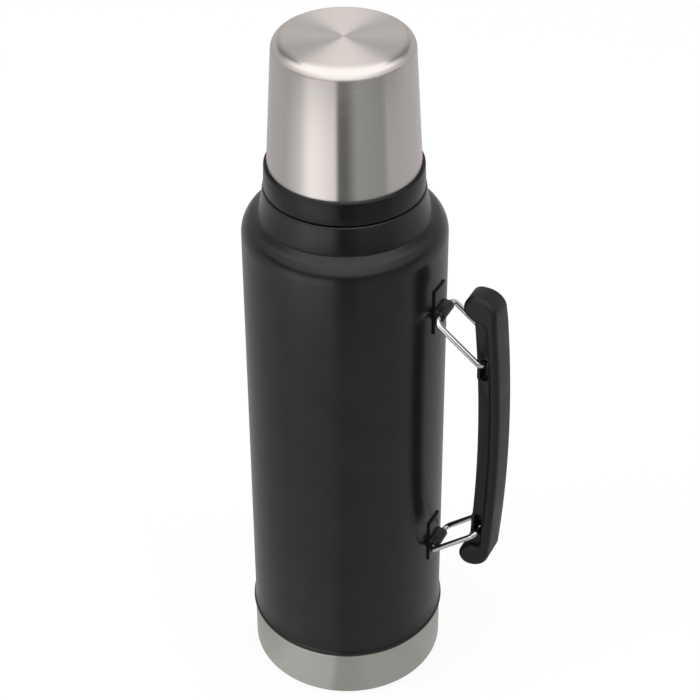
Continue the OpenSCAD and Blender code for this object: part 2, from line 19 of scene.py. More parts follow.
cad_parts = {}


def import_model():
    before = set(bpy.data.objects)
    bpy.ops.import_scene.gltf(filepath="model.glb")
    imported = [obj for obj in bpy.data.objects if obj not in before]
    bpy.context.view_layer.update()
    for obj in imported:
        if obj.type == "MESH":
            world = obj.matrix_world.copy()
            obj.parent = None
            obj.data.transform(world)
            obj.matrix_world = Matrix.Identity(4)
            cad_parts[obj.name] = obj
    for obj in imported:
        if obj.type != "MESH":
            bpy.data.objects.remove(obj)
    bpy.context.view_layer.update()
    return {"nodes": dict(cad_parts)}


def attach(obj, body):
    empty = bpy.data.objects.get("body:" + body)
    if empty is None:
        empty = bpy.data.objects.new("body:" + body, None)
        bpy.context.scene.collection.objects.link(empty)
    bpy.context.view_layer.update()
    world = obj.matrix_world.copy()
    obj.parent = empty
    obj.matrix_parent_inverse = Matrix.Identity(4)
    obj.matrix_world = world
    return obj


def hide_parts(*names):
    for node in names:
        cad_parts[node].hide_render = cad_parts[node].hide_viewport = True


LOG = logging.getLogger("bottle")
MM = 0.001
ORIGIN = (0.0, 0.0, 0.0)
UP = (0.0, 0.0, 1.0)
WHITE = (1.0, 1.0, 1.0)
# Gap that counts as none, in metres, and the angle in radians from which an edge counts as hard.
TOUCH = 1e-7
HARD = 0.8
# Facets round the axis, on most turned pieces and on those that show most.
FACETS = 144
FINE_FACETS = 192
# Sizes that several pieces share: the threads' pitch and the links' pivots and lean.
PITCH = 5.0
PIVOT_X = 52.3
UPPER_PIVOT_Z = 230.2
LOWER_PIVOT_Z = 85.9
LINK_LEAN = 39.0

Mesh = bmesh.types.BMesh
Edge = bmesh.types.BMEdge
Point = tuple[float, float, float]
Span = tuple[float, float]


class Body(Enum):
    """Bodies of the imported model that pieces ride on."""

    VESSEL = "vessel"
    HANDLE = "handle"
    UPPER_LINK = "upper_link"
    LOWER_LINK = "lower_link"
    STOPPER = "stopper"
    CUP = "cup"


class Slot(Enum):
    """Material slots of the record."""

    COAT = "coat"
    STEEL = "steel"
    LINER_STEEL = "liner_steel"
    WIRE = "wire"
    SCREW_STEEL = "screw_steel"
    MOULDING = "moulding"
    GRIP = "grip"
    SILICONE = "silicone"
    FOAM = "foam"
    FOIL = "foil"
    BEAD = "bead"
    GETTER = "getter"


class Value:
    """A socket of a node tree; arithmetic on it adds Math nodes."""

    def __init__(self, graph: "Graph", socket: bpy.types.NodeSocket) -> None:
        """Wrap one output socket of a graph."""
        self.graph = graph
        self.socket = socket

    def math(self, operation: str, *others: "Value | float") -> "Value":
        """Add a Math node that starts from this value.

        Args:
            operation: The Math node's operation.
            others: The operands that follow this one.

        Returns:
            The node's result.
        """
        inputs = dict(enumerate((self, *others)))
        return self.graph.node("ShaderNodeMath", {"operation": operation}, inputs)

    def __add__(self, other: "Value | float") -> "Value":
        """Sum of two values."""
        return self.math("ADD", other)

    def __radd__(self, other: float) -> "Value":
        """Sum of a number and a value."""
        return self.math("ADD", other)

    def __sub__(self, other: "Value | float") -> "Value":
        """Difference of two values."""
        return self.math("SUBTRACT", other)

    def __rsub__(self, other: float) -> "Value":
        """A number less a value."""
        return (self * -1.0) + other

    def __mul__(self, other: "Value | float") -> "Value":
        """Product of two values."""
        return self.math("MULTIPLY", other)

    def __rmul__(self, other: float) -> "Value":
        """Product of a number and a value."""
        return self.math("MULTIPLY", other)

    def sway(self, amount: float) -> "Value":
        """How far the value is from a half, times an amount."""
        return (self - 0.5) * amount

    def within(self, low: float, high: float) -> "Value":
        """Map the span from low to high smoothly onto 0 to 1.

        Args:
            low: Value that becomes 0.
            high: Value that becomes 1.

        Returns:
            The mapped value, held at its ends.
        """
        settings = {"interpolation_type": "SMOOTHSTEP"}
        inputs = {"Value": self, "From Min": low, "From Max": high}
        return self.graph.node("ShaderNodeMapRange", settings, inputs)


Colour = tuple[float, float, float]
Input = Value | float | tuple[float, ...]
Panels = tuple[Span, ...]


class Graph:
    """A node tree and the few ways that the finishes add to it."""

    def __init__(self, tree: bpy.types.NodeTree, output: str = "ShaderNodeOutputMaterial") -> None:
        """Take over a node tree, emptied first.

        Args:
            tree: The tree.
            output: Type name of the node that it ends in.
        """
        self.tree = tree
        self.output = output
        tree.nodes.clear()

    def node(
        self,
        kind: str,
        settings: dict[str, Any] | None = None,
        inputs: dict[str | int, Input] | None = None,
        output: str | int = 0,
    ) -> Value:
        """Add a node.

        Args:
            kind: The node's type name.
            settings: Its properties; a ramp's stops go under "stops" as position and colour pairs.
            inputs: Values or links of its sockets, by name or index.
            output: The output that the result wraps.

        Returns:
            That output.
        """
        made = self.tree.nodes.new(kind)
        for name, setting in (settings or {}).items():
            if name == "stops":
                self._fill_ramp(made.color_ramp, setting)
            else:
                setattr(made, name, setting)
        for key, given in (inputs or {}).items():
            self.feed(made.inputs[key], given)
        chosen = made.outputs[output] if made.outputs else None
        return Value(self, chosen)

    @staticmethod
    def _fill_ramp(ramp: bpy.types.ColorRamp, stops: Iterable[tuple[float, Colour]]) -> None:
        """Give a colour ramp its stops.

        Args:
            ramp: The ramp to fill.
            stops: Position and colour of each stop, from left to right.
        """
        for index, (place, colour) in enumerate(stops):
            stop = ramp.elements[index] if index < len(ramp.elements) else ramp.elements.new(place)
            stop.position = place
            stop.color = (*colour, 1.0)

    def feed(self, socket: bpy.types.NodeSocket, given: Input) -> None:
        """Link a value to a socket, or set the socket's own number.

        Args:
            socket: The input socket.
            given: A wrapped output, a number, a vector or a colour.
        """
        if isinstance(given, Value):
            self.tree.links.new(given.socket, socket)
        elif socket.type == "RGBA":
            socket.default_value = (*given, 1.0)[:4]
        else:
            socket.default_value = given

    def place(self) -> Value:
        """Object coordinates of the surface, in metres."""
        return self.node("ShaderNodeTexCoord", output="Object")

    def axes(self) -> tuple[Value, Value, Value]:
        """Object coordinates as three values."""
        split = self.node("ShaderNodeSeparateXYZ", inputs={0: self.place()}).socket.node
        return tuple(Value(self, socket) for socket in split.outputs)

    def vector(self, x: Input, y: Input, z: Input) -> Value:
        """A vector from three values."""
        return self.node("ShaderNodeCombineXYZ", inputs={0: x, 1: y, 2: z})

    def noise(
        self, vector: Value, scale: float, detail: float = 2.0, roughness: float = 0.5
    ) -> Value:
        """Add a noise texture.

        Args:
            vector: Where it is read.
            scale: Grains in a metre.
            detail: Number of finer layers.
            roughness: Share of the finer layers.

        Returns:
            The noise, about 0 to 1.
        """
        inputs = {"Vector": vector, "Scale": scale, "Detail": detail, "Roughness": roughness}
        return self.node("ShaderNodeTexNoise", inputs=inputs)

    def cells(self, feature: str, sockets: dict[str, Input]) -> Value:
        """Add a Voronoi texture.

        Args:
            feature: Kind of its distance.
            sockets: Values of its sockets.

        Returns:
            Distance from the middle of a cell.
        """
        inputs = {"Vector": self.place(), **sockets}
        return self.node("ShaderNodeTexVoronoi", {"feature": feature}, inputs, "Distance")

    def blend(self, factor: Input, first: Input, second: Input) -> Value:
        """Mix two colours.

        Args:
            factor: Share of the second colour.
            first: Colour at 0.
            second: Colour at 1.

        Returns:
            The mixed colour.
        """
        # A Mix node's sockets for colours are its inputs 6 and 7 and its output 2.
        inputs = {0: factor, 6: first, 7: second}
        return self.node("ShaderNodeMix", {"data_type": "RGBA"}, inputs, 2)

    def bump(self, height: Value, depth: float, strength: float = 1.0) -> Value:
        """Turn a height into a normal.

        Args:
            height: Height of the surface, 0 to 1.
            depth: What 1 stands for, in metres.
            strength: How much of it shows.

        Returns:
            The normal.
        """
        inputs = {"Height": height, "Distance": depth, "Strength": strength}
        return self.node("ShaderNodeBump", inputs=inputs, output="Normal")

    def seen(self) -> Value:
        """Tell the rays that show a surface to the camera from those that light others.

        Returns:
            1 for rays from the camera, reflected and passed ones too, else 0.
        """
        rays = self.node("ShaderNodeLightPath").socket.node
        kinds = ("Camera", "Glossy", "Transmission")
        straight, mirrored, passed = (Value(self, rays.outputs[f"Is {kind} Ray"]) for kind in kinds)
        return straight.math("MAXIMUM", mirrored).math("MAXIMUM", passed)

    def surface(self, shader: Value) -> None:
        """Send a shader to the tree's output."""
        self.node(self.output, inputs={"Surface": shader})

    def principled(self, sockets: dict[str, Input]) -> None:
        """Finish the tree with a Principled shader.

        Args:
            sockets: Values or links of its sockets.
        """
        self.surface(self.node("ShaderNodeBsdfPrincipled", inputs=sockets))


def shade(colour: Colour, share: float) -> Colour:
    """A colour times a share."""
    return tuple(share * part for part in colour)


def new_material(name: str, paint: Callable[[Graph], None]) -> bpy.types.Material:
    """Make a material.

    Args:
        name: Name of the material.
        paint: Builds its nodes.

    Returns:
        The material.
    """
    made = bpy.data.materials.new(name)
    made.use_nodes = True
    paint(Graph(made.node_tree))
    return made


@dataclass(frozen=True)
class Finish(ABC):
    """A surface finish for one slot of the record, made once as a material."""

    slot: Slot

    @abstractmethod
    def paint(self, graph: Graph) -> None:
        """Build the finish's nodes."""

    def material(self) -> bpy.types.Material:
        """The finish as a material, the same one for every piece."""
        name = f"finish_{self.slot.value}"
        return bpy.data.materials.get(name) or new_material(name, self.paint)


@dataclass(frozen=True)
class PowderCoat(Finish):
    """Satin black powder coat with a fine orange peel."""

    slot: Slot = Slot.COAT
    colour: Colour = (0.0048, 0.0048, 0.0050)
    worn: Colour = (0.0068, 0.0068, 0.0070)
    roughness: float = 0.24
    gloss: float = 0.39
    peel_scale: float = 1500.0
    peel_depth: float = 0.00005
    cloud_scale: float = 55.0

    def paint(self, graph: Graph) -> None:
        """Peel in the bump, soft clouds in colour and roughness.

        Args:
            graph: Tree of the material.
        """
        place = graph.place()
        peel = graph.noise(place, self.peel_scale, 2.0, 0.55)
        cloud = graph.noise(place, self.cloud_scale, 3.0)
        graph.principled({
            "Base Color": graph.blend(cloud.within(0.35, 0.7), self.colour, self.worn),
            "Roughness": self.roughness + cloud.sway(0.08) + peel.sway(0.06),
            "Specular IOR Level": self.gloss,
            "Normal": graph.bump(peel, self.peel_depth, 0.5),
        })


@dataclass(frozen=True)
class BrushedSteel(Finish):
    """Bare steel brushed round the axis, duller where the cup's top is turned."""

    slot: Slot = Slot.STEEL
    colour: Colour = (0.60, 0.585, 0.565)
    dark: Colour = (0.565, 0.55, 0.53)
    roughness: float = 0.21
    turned: float = 0.16
    turned_z: float = 0.3644
    turned_fade: float = 0.0004
    stretch: float = 0.90
    quarter: float = 0.25
    fine_lines: float = 5200.0
    broad_lines: float = 900.0
    line_depth: float = 0.000008

    def paint(self, graph: Graph) -> None:
        """Streaks that run round the axis, on the sides and on the top alike.

        Args:
            graph: Tree of the material.
        """
        x, y, z = graph.axes()
        across = z + (x * x + y * y).math("SQRT")
        fine = graph.noise(graph.vector(x * 9.0, y * 9.0, across * self.fine_lines), 1.0, 2.0, 0.6)
        broad = graph.noise(graph.vector(x * 5.0, y * 5.0, across * self.broad_lines), 1.0, 3.0)
        streak = fine * 0.6 + broad * 0.4
        top = z.within(self.turned_z - self.turned_fade, self.turned_z)
        graph.principled({
            "Base Color": graph.blend(streak.within(0.25, 0.75), self.dark, self.colour),
            "Metallic": 1.0,
            "Roughness": self.roughness + streak.sway(0.10) + top * self.turned,
            "Anisotropic": self.stretch,
            "Anisotropic Rotation": self.quarter,
            "Normal": graph.bump(fine, self.line_depth, 0.25),
        })


@dataclass(frozen=True)
class LinerSteel(Finish):
    """Electropolished steel of the flask and its plates."""

    slot: Slot = Slot.LINER_STEEL
    colour: Colour = (0.64, 0.63, 0.61)
    roughness: float = 0.22
    drawn_lines: float = 1400.0
    line_depth: float = 0.00002
    cloud_scale: float = 40.0

    def paint(self, graph: Graph) -> None:
        """Faint drawing lines under the polish.

        Args:
            graph: Tree of the material.
        """
        x, y, z = graph.axes()
        lines = graph.noise(graph.vector(x * 20.0, y * 20.0, z * self.drawn_lines), 1.0)
        cloud = graph.noise(graph.place(), self.cloud_scale)
        graph.principled({
            "Base Color": graph.blend(cloud, self.colour, shade(self.colour, 0.9)),
            "Metallic": 1.0,
            "Roughness": self.roughness + lines.sway(0.12),
            "Normal": graph.bump(lines, self.line_depth, 0.3),
        })


@dataclass(frozen=True)
class ChromeWire(Finish):
    """Bright plated wire with light draw marks."""

    slot: Slot = Slot.WIRE
    colour: Colour = (0.78, 0.78, 0.79)
    dull: Colour = (0.66, 0.66, 0.67)
    roughness: float = 0.10
    fleck_scale: float = 700.0
    mark_scale: float = 2500.0
    mark_depth: float = 0.00001

    def paint(self, graph: Graph) -> None:
        """Small dull flecks in the plating.

        Args:
            graph: Tree of the material.
        """
        place = graph.place()
        fleck = graph.noise(place, self.fleck_scale, 3.0, 0.6)
        graph.principled({
            "Base Color": graph.blend(fleck.within(0.3, 0.8), self.colour, self.dull),
            "Metallic": 1.0,
            "Roughness": self.roughness + fleck.within(0.45, 0.8) * 0.12,
            "Normal": graph.bump(graph.noise(place, self.mark_scale), self.mark_depth, 0.25),
        })


@dataclass(frozen=True)
class Moulding(Finish):
    """Satin black plastic of the ring, the collar and the stopper."""

    slot: Slot = Slot.MOULDING
    colour: Colour = (0.0025, 0.0025, 0.0026)
    roughness: float = 0.26
    gloss: float = 0.30
    grain_scale: float = 2800.0
    grain_depth: float = 0.00003
    flow_scale: float = 90.0

    def paint(self, graph: Graph) -> None:
        """Spark-eroded grain from the mould.

        Args:
            graph: Tree of the material.
        """
        place = graph.place()
        grain = graph.noise(place, self.grain_scale, 2.0, 0.6)
        flow = graph.noise(place, self.flow_scale)
        graph.principled({
            "Base Color": graph.blend(flow, self.colour, shade(self.colour, 1.35)),
            "Roughness": self.roughness + grain.sway(0.12) + flow.sway(0.06),
            "Specular IOR Level": self.gloss,
            "Normal": graph.bump(grain, self.grain_depth, 0.5),
        })


@dataclass(frozen=True)
class GripPlastic(Finish):
    """Finely textured black plastic of the handle."""

    slot: Slot = Slot.GRIP
    colour: Colour = (0.0044, 0.0044, 0.0045)
    roughness: float = 0.42
    gloss: float = 0.33
    cell_scale: float = 1900.0
    cell_depth: float = 0.00005
    rub_scale: float = 48.0

    def paint(self, graph: Graph) -> None:
        """Leather-fine moulded texture, rubbed smoother in soft patches.

        Args:
            graph: Tree of the material.
        """
        cells = graph.cells("SMOOTH_F1", {"Scale": self.cell_scale, "Smoothness": 0.6})
        rubbed = graph.noise(graph.place(), self.rub_scale, 3.0)
        graph.principled({
            "Base Color": graph.blend(rubbed, self.colour, shade(self.colour, 1.3)),
            "Roughness": self.roughness - rubbed.within(0.45, 0.75) * 0.08 + (cells - 0.4) * 0.1,
            "Specular IOR Level": self.gloss,
            "Normal": graph.bump(cells, self.cell_depth, 0.45),
        })


@dataclass(frozen=True)
class Foam(Finish):
    """Closed-cell foam behind the stopper and the cup."""

    slot: Slot = Slot.FOAM
    colour: Colour = (0.82, 0.80, 0.74)
    pore: Colour = (0.68, 0.65, 0.58)
    roughness: float = 0.75
    cell_scale: float = 1100.0
    cell_depth: float = 0.0004

    def paint(self, graph: Graph) -> None:
        """Bubbles about a millimetre across.

        Args:
            graph: Tree of the material.
        """
        cells = graph.cells("F1", {"Scale": self.cell_scale})
        graph.principled({
            "Base Color": graph.blend(cells.within(0.0, 0.7), self.pore, self.colour),
            "Roughness": self.roughness + cells * 0.15,
            "Normal": graph.bump(cells, self.cell_depth, 0.6),
        })


@dataclass(frozen=True)
class Grained(Finish):
    """A finish whose one grain varies its colour, roughness and height together."""

    low: Colour
    high: Colour
    roughness: float
    spread: float
    scale: float
    depth: float
    strength: float
    metallic: float = 0.0
    layers: float = 3.0
    share: float = 0.6

    def paint(self, graph: Graph) -> None:
        """One noise that everything follows.

        Args:
            graph: Tree of the material.
        """
        grain = graph.noise(graph.place(), self.scale, self.layers, self.share)
        graph.principled({
            "Base Color": graph.blend(grain, self.low, self.high),
            "Metallic": self.metallic,
            "Roughness": self.roughness + grain * self.spread,
            "Normal": graph.bump(grain, self.depth, self.strength),
        })


# Dull grey skin of the small screws.
SCREW_STEEL = Grained(
    Slot.SCREW_STEEL, low=(0.36, 0.36, 0.37), high=(0.45, 0.45, 0.46), roughness=0.32, spread=0.15,
    scale=2600.0, depth=0.00002, strength=0.4, metallic=1.0)
# Pale silicone of the gaskets, dusty in patches.
SILICONE = Grained(
    Slot.SILICONE, low=(0.55, 0.54, 0.52), high=(0.62, 0.61, 0.59), roughness=0.48, spread=0.18,
    scale=420.0, depth=0.00003, strength=0.3)
# Copper-coated foil, creased from the wrapping.
FOIL = Grained(
    Slot.FOIL, low=(0.72, 0.46, 0.32), high=(0.80, 0.55, 0.40), roughness=0.2, spread=0.15,
    scale=130.0, depth=0.0006, strength=0.6, metallic=1.0, layers=4.0)
# Brazed bead with frozen ripples and burnt tints.
BEAD = Grained(
    Slot.BEAD, low=(0.34, 0.29, 0.22), high=(0.50, 0.45, 0.35), roughness=0.35, spread=0.2,
    scale=900.0, depth=0.0002, strength=0.5, metallic=1.0)
# Pressed grains of the sintered pill.
GETTER = Grained(
    Slot.GETTER, low=(0.18, 0.17, 0.16), high=(0.28, 0.27, 0.25), roughness=0.7, spread=0.2,
    scale=3200.0, depth=0.0001, strength=0.7, share=0.7)


class Outline:
    """A wire in the XZ plane that operators draw, then spin or extrude."""

    def __init__(self, x: float, z: float) -> None:
        """Start the wire at a point.

        Args:
            x: Where it starts, in millimetres.
            z: Height of its start.
        """
        self.bm = bmesh.new()
        self.start = self.bm.verts.new((x * MM, 0.0, z * MM))
        self.last = self.start
        self.soft: list[tuple[bmesh.types.BMVert, float]] = []

    def line(self, x: float, z: float, soft: float = 0.0) -> "Outline":
        """Draw a straight edge.

        Args:
            x: Where it ends.
            z: Height of its end.
            soft: Radius that rounds the corner at its end.

        Returns:
            The outline itself.
        """
        self.last = bmesh.ops.extrude_vert_indiv(self.bm, verts=[self.last])["verts"][0]
        self.last.co = (x * MM, 0.0, z * MM)
        return self.mark(soft)

    def arc(
        self, x: float, z: float, degrees: float, steps: int = 8, soft: float = 0.0
    ) -> "Outline":
        """Draw an arc from the last point.

        Args:
            x: Middle of the arc.
            z: Height of the middle.
            degrees: Turn, positive from +X towards +Z.
            steps: Number of edges.
            soft: Radius that rounds the corner at its end.

        Returns:
            The outline itself.
        """
        turned = bmesh.ops.spin(
            self.bm, geom=[self.last], cent=(x * MM, 0.0, z * MM), axis=(0.0, -1.0, 0.0),
            angle=math.radians(degrees), steps=steps, use_merge=False, use_duplicate=False)
        self.last = next(v for v in turned["geom_last"] if isinstance(v, bmesh.types.BMVert))
        return self.mark(soft)

    def mark(self, soft: float) -> "Outline":
        """Note the last point as a corner to round, unless the radius is 0."""
        self.soft += [(self.last, soft)] if soft else []
        return self

    def close(self) -> "Outline":
        """Join the wire's end to its start and round the marked corners.

        Returns:
            The outline itself.
        """
        if (self.last.co - self.start.co).length > TOUCH:
            self.bm.edges.new((self.last, self.start))
        for vert, radius in self.soft:
            ways = [e.other_vert(vert).co - vert.co for e in vert.link_edges]
            reach = radius / math.tan(ways[0].angle(ways[1]) / 2.0)
            bmesh.ops.bevel(
                self.bm, geom=[vert], offset=reach * MM, offset_type="OFFSET", segments=3,
                profile=0.5, affect="VERTICES", material=-1)
        bmesh.ops.remove_doubles(self.bm, verts=self.bm.verts, dist=TOUCH)
        return self

    def turn(self, steps: int = FACETS) -> Mesh:
        """Spin the wire once round the bottle's axis.

        Args:
            steps: Facets round the axis.

        Returns:
            The turned mesh.
        """
        geom = [*self.bm.verts, *self.bm.edges]
        bmesh.ops.spin(
            self.bm, geom=geom, cent=ORIGIN, axis=UP, angle=math.tau, steps=steps, use_merge=True,
            use_duplicate=False)
        weld(self.bm)
        return self.bm

    def slab(self, width: float, soft: float, steps: int = 7) -> Mesh:
        """Fill the wire and make it solid across the handle, with rounded sides.

        Args:
            width: Size along Y, half on each side.
            soft: Radius of the round along both sides.
            steps: Facets of the round.

        Returns:
            The solid mesh.
        """
        core = width - 2.0 * soft
        bmesh.ops.triangle_fill(self.bm, use_beauty=True, edges=self.bm.edges[:])
        bmesh.ops.dissolve_limit(
            self.bm, angle_limit=0.001, verts=self.bm.verts[:], edges=self.bm.edges[:],
            use_dissolve_boundaries=False)
        bmesh.ops.translate(self.bm, verts=self.bm.verts, vec=(0.0, -0.5 * core * MM, 0.0))
        grown = bmesh.ops.extrude_face_region(self.bm, geom=self.bm.faces[:], use_keep_orig=True)
        moved = [v for v in grown["geom"] if isinstance(v, bmesh.types.BMVert)]
        bmesh.ops.translate(self.bm, verts=moved, vec=(0.0, core * MM, 0.0))
        bmesh.ops.recalc_face_normals(self.bm, faces=self.bm.faces)
        caps = [f for f in self.bm.faces if abs(f.normal.y) > 0.999]
        angles = [0.5 * math.pi * step / steps for step in range(steps + 1)]
        pairs = zip(angles, angles[1:])
        rings = [(math.cos(a) - math.cos(b), math.sin(b) - math.sin(a)) for a, b in pairs]
        for inward, outward in (*rings, (0.08, 0.0)):
            bmesh.ops.inset_region(
                self.bm, faces=caps, thickness=soft * inward * MM, depth=soft * outward * MM,
                use_boundary=True, use_even_offset=True)
        return self.bm


def weld(bm: Mesh) -> None:
    """Merge doubles and turn all faces outwards."""
    bmesh.ops.remove_doubles(bm, verts=bm.verts, dist=TOUCH)
    bmesh.ops.recalc_face_normals(bm, faces=bm.faces)


def round_edges(bm: Mesh, picked: Callable[[Edge], bool], radius: float, segments: int) -> None:
    """Bevel the edges that a test picks.

    Args:
        bm: Mesh to change.
        picked: Test of an edge.
        radius: Radius of the round, in millimetres.
        segments: Facets of the round.
    """
    edges = [e for e in bm.edges if e.is_manifold and picked(e)]
    bmesh.ops.bevel(
        bm, geom=edges, offset=radius * MM, offset_type="OFFSET", segments=segments, profile=0.5,
        affect="EDGES", clamp_overlap=True, material=-1)


def add_ridge(bm: Mesh, root: float, crest: float, foot: float, turns: float) -> None:
    """Wind a thread ridge round the axis.

    Args:
        bm: Mesh that gets the ridge.
        root: Radius of the wall that the ridge stands on.
        crest: Radius of its crest.
        foot: Height of its start.
        turns: Number of turns.
    """
    root_half, crest_half, sink = 1.15, 0.5, 0.3
    steps = math.ceil(turns * FACETS / 2)
    sunk = root - math.copysign(sink, crest - root)
    corners = ((sunk, -root_half), (crest, -crest_half), (crest, crest_half), (sunk, root_half))
    verts = [bm.verts.new((r * MM, 0.0, (foot + z) * MM)) for r, z in corners]
    face = bm.faces.new(verts)
    bmesh.ops.spin(
        bm, geom=[face, *face.edges, *face.verts], cent=ORIGIN, axis=UP, angle=math.tau * turns,
        steps=steps, dvec=(0.0, 0.0, PITCH * turns / steps * MM), use_merge=False,
        use_duplicate=False)
    bmesh.ops.recalc_face_normals(bm, faces=bm.faces)


def new_object(bm: Mesh, name: str, material: bpy.types.Material) -> bpy.types.Object:
    """Turn a mesh into an object of the scene.

    Args:
        bm: The shape, freed afterwards.
        name: Name of the object.
        material: Its material.

    Returns:
        The object.
    """
    mesh = bpy.data.meshes.new(name)
    bm.to_mesh(mesh)
    bm.free()
    mesh.materials.append(material)
    made = bpy.data.objects.new(name, mesh)
    bpy.context.scene.collection.objects.link(made)
    return made


def finish_piece(
    bm: Mesh, name: str, node: str, body: Body, finish: Finish, sharp: float = 32.0
) -> None:
    """Turn a mesh into a piece that stands for a node.

    Args:
        bm: The shape, freed afterwards.
        name: Name of the piece.
        node: Node that it replaces.
        body: Body that it rides on.
        finish: Its finish.
        sharp: Angle in degrees above which an edge stays sharp.
    """
    for face in bm.faces:
        face.smooth = True
    for edge in bm.edges:
        edge.smooth = not edge.is_manifold or edge.calc_face_angle() < math.radians(sharp)
    piece = new_object(bm, name, finish.material())
    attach(piece, body.value)
    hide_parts(node)
    LOG.info("%s: %d faces, %s", name, len(piece.data.polygons), finish.slot.value)


@dataclass
class Vessel:
    """Coated outer wall, bare base, flask and collar."""

    body_r: float = 49.5
    shell_t: float = 0.6
    lip_z: float = 28.4
    lip_flare: float = 1.06
    bead_r: float = 1.5
    bead_turn: float = 50.0
    groove_r: float = 49.75
    groove_z: float = 31.4
    groove_top: float = 32.0
    groove_round: float = 0.1
    flare_round: float = 0.3
    flare_h: float = 11.0
    shoulder_z: float = 262.2
    shoulder_r: float = 13.0
    neck_r: float = 38.8
    neck_flare: float = 2.6
    neck_fillet: float = 1.0
    neck_sweep: float = 6.0
    crease_turn: float = 50.0
    crease_r: float = 41.7
    crease_z: float = 273.3
    crease_round: float = 0.8
    ledge_z: float = 287.6
    ledge_round: float = 0.7
    rim_z: float = 296.0
    spigot_r: float = 29.7
    mouth_r: float = 27.0
    liner_r: float = 40.2
    liner_t: float = 0.5
    shoulder_foot: float = 245.5
    slope_top: float = 275.6
    slope_round: float = 6.0
    mouth_round: float = 0.4
    mouth_crest_r: float = 26.0
    mouth_thread_z: float = 281.0
    mouth_turns: float = 1.75
    floor_top: float = 66.0
    base_r: float = 49.7
    base_round: float = 4.0
    base_top: float = 27.9
    base_t: float = 0.6
    base_hollow: float = 2.0
    hollow_round: float = 2.0
    foot_round: float = 1.5
    step_round: float = 0.4
    foot_w: float = 9.0
    tuck_r: float = 48.85
    tuck_top: float = 36.9
    collar_root_r: float = 32.8
    collar_crest_r: float = 33.8
    collar_top: float = 298.9
    collar_round: float = 0.9
    collar_fit: float = 0.05
    collar_thread_z: float = 290.1
    collar_turns: float = 1.0
    lip_in_r: float = 27.2
    lip_foot: float = 297.3
    lip_round: float = 0.4

    def build(self) -> None:
        """Make and dress the vessel's pieces."""
        self.build_wall()
        self.build_base()
        self.build_flask()
        self.build_collar()

    def build_wall(self) -> None:
        """The coated wall, from its flared lip to the steel rim."""
        t = self.shell_t
        sweep = (self.flare_h**2 + self.lip_flare**2) / (2.0 * self.lip_flare)
        flare_x, flare_z = self.body_r + sweep, self.lip_z + self.flare_h
        flare = math.asin((flare_z - self.groove_top) / sweep)
        bead_x = self.body_r + self.lip_flare - self.bead_r
        round_x = self.body_r - self.shoulder_r
        reach = self.shoulder_r + self.neck_fillet
        fillet_x = self.neck_r + self.neck_flare + self.neck_fillet
        meet = math.degrees(math.acos((fillet_x - round_x) / reach))
        fillet_z = self.shoulder_z + math.sqrt(reach**2 - (fillet_x - round_x) ** 2)
        lean = math.atan(self.neck_flare / (self.ledge_z - fillet_z))
        hollow, hollow_turn = self.neck_fillet + t, meet - math.degrees(lean)
        foot = Vector((self.crease_r, self.crease_z))
        head = Vector((self.neck_r, self.ledge_z))
        out = Vector((head.y - foot.y, foot.x - head.x))
        out *= 0.5 / math.tan(math.radians(self.neck_sweep))
        neck = (foot + head) * 0.5 + out
        wire = Outline(self.body_r - t, self.lip_z).line(bead_x, self.lip_z)
        wire.arc(bead_x, self.lip_z + self.bead_r, 90.0 + self.bead_turn, 14)
        wire.line(self.groove_r, self.groove_z, self.groove_round)
        wire.line(flare_x - sweep * math.cos(flare), self.groove_top, self.flare_round)
        wire.arc(flare_x, flare_z, -math.degrees(flare), 10).line(self.body_r, self.shoulder_z)
        wire.arc(round_x, self.shoulder_z, self.crease_turn, 24)
        wire.line(self.crease_r, self.crease_z, self.crease_round)
        wire.arc(neck.x, neck.y, -2.0 * self.neck_sweep, 10, self.ledge_round)
        wire.line(self.spigot_r, self.ledge_z)
        wire.line(self.spigot_r, self.rim_z).line(self.spigot_r - t, self.rim_z)
        wire.line(self.spigot_r - t, self.ledge_z - t).line(self.neck_r - t, self.ledge_z - t)
        wire.line(fillet_x - hollow * math.cos(lean), fillet_z - hollow * math.sin(lean))
        wire.arc(fillet_x, fillet_z, hollow_turn, 8).arc(round_x, self.shoulder_z, -meet, 24)
        bm = wire.close().turn(FINE_FACETS)
        finish_piece(bm, "coated_wall", "outer_shell", Body.VESSEL, PowderCoat())

    def build_base(self) -> None:
        """The bare steel base, with its rim inside the wall."""
        t = self.base_t
        round_x = self.base_r - self.base_round
        foot_in = round_x - self.foot_w
        floor_r = foot_in - self.base_hollow
        wire = Outline(0.0, self.base_hollow).line(floor_r, self.base_hollow, self.hollow_round)
        wire.line(foot_in, 0.0, self.foot_round)
        wire.line(round_x, 0.0).arc(round_x, self.base_round, 90.0, 10)
        wire.line(self.base_r, self.base_top, self.step_round).line(self.tuck_r, self.base_top)
        wire.line(self.tuck_r, self.tuck_top).line(self.tuck_r - t, self.tuck_top)
        wire.line(self.tuck_r - t, self.base_top - t).line(self.base_r - t, self.base_top - t)
        wire.line(self.base_r - t, self.base_round).arc(round_x, self.base_round, -90.0, 10)
        wire.line(foot_in, t).line(floor_r, self.base_hollow + t).line(0.0, self.base_hollow + t)
        bm = wire.close().turn(FINE_FACETS)
        finish_piece(bm, "steel_base", "base_cup", Body.VESSEL, BrushedSteel())

